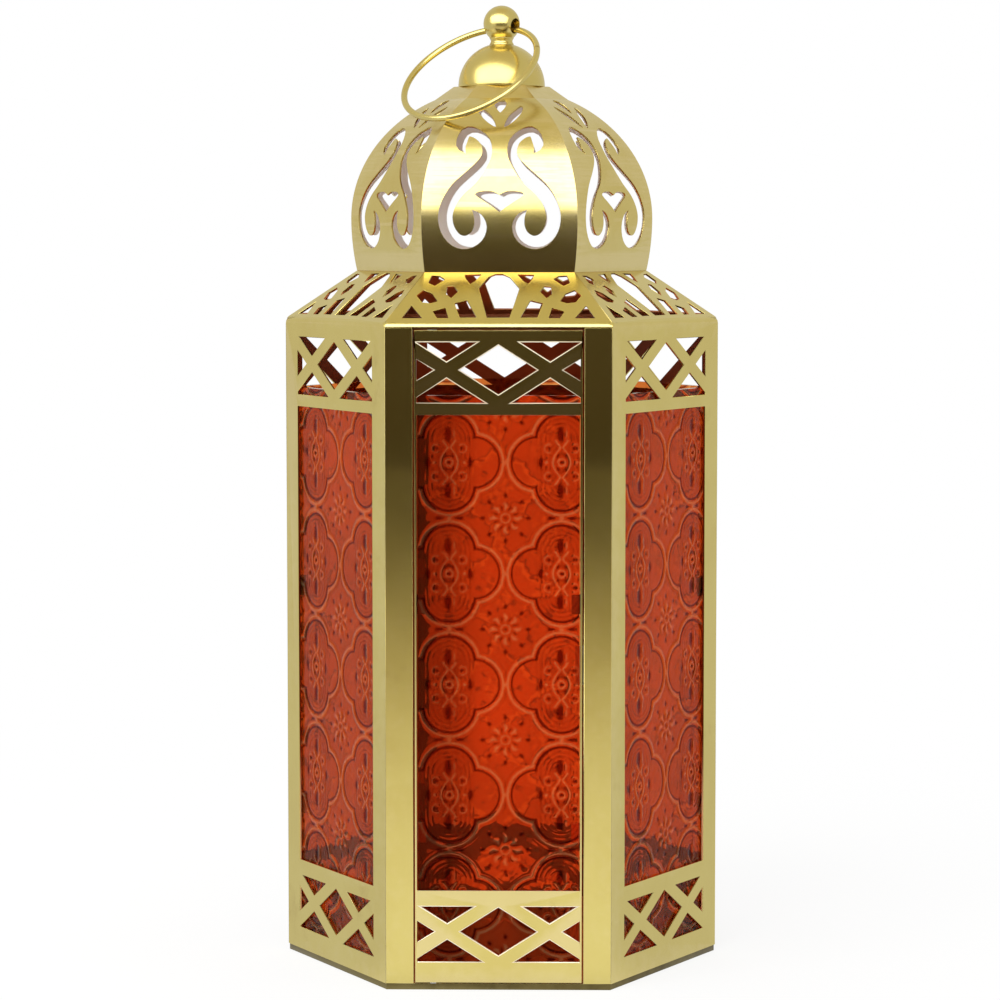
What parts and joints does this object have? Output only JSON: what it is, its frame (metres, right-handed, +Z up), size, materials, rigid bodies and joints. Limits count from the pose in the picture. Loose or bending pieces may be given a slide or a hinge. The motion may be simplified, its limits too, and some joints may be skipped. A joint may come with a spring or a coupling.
{
  "type": "candle lantern",
  "caption": "Six-sided pierced metal candle lantern with pressed amber glass panes, a hinged front door, a domed top and a hanging ring.",
  "frame": {"origin": "middle of the underside, on the surface that the lantern stands on", "axes": "+Z up through the ball on top; the front door faces -Y; its hinge is on the -X side"},
  "size_m": [0.1386, 0.12, 0.3045],
  "materials": {
    "gold_paint": "satin gold lacquer on sheet iron",
    "polished_gold": "glossy gold lacquer on formed metal",
    "inner_metal": "thin gold lacquer, unpolished inside",
    "base_metal": "dull dark gold lacquer",
    "plain_steel": "bare zinc-coated steel",
    "amber_glass": "amber-red pressed glass with a raised medallion pattern"
  },
  "bodies": {
    "lantern": {"base_tray": "base_metal", "candle_cup": "plain_steel", "cup_rivet": "plain_steel", "wall_panel_1": "gold_paint", "wall_panel_2": "gold_paint", "wall_panel_3": "gold_paint", "wall_panel_4": "gold_paint", "wall_panel_5": "gold_paint", "glass_pane_1": "amber_glass", "glass_pane_2": "amber_glass", "glass_pane_3": "amber_glass", "glass_pane_4": "amber_glass", "glass_pane_5": "amber_glass", "glass_clips": "inner_metal", "door_catch": "plain_steel", "catch_rivets": "plain_steel", "eave_frame": "inner_metal", "roof_panel_1": "gold_paint", "roof_panel_2": "gold_paint", "roof_panel_3": "gold_paint", "roof_panel_4": "gold_paint", "roof_panel_5": "gold_paint", "roof_panel_6": "gold_paint", "dome_gore_1": "polished_gold", "dome_gore_2": "polished_gold", "dome_gore_3": "polished_gold", "dome_gore_4": "polished_gold", "dome_gore_5": "polished_gold", "dome_gore_6": "polished_gold", "crown_plate": "inner_metal", "cap": "polished_gold", "neck_collar": "polished_gold", "finial_ball": "polished_gold", "finial_nut": "plain_steel"},
    "door": {"door_frame": "gold_paint", "door_glass": "amber_glass", "door_clips": "inner_metal", "hinge_pin_top": "plain_steel", "hinge_pin_bottom": "plain_steel"},
    "ring": {"hanging_ring": "polished_gold"}
  },
  "joints": [
    {"name": "door_hinge", "type": "hinge", "parent": "lantern", "child": "door", "pos_m": [-0.02014, -0.0584, 0.1], "axis": [0, 0, -1], "range_deg": [0, 145]},
    {"name": "ring_swing", "type": "hinge", "parent": "lantern", "child": "ring", "pos_m": [0, 0, 0.29698], "axis": [-0.8221, 0.5693, 0], "range_deg": [0, 260]}
  ]
}
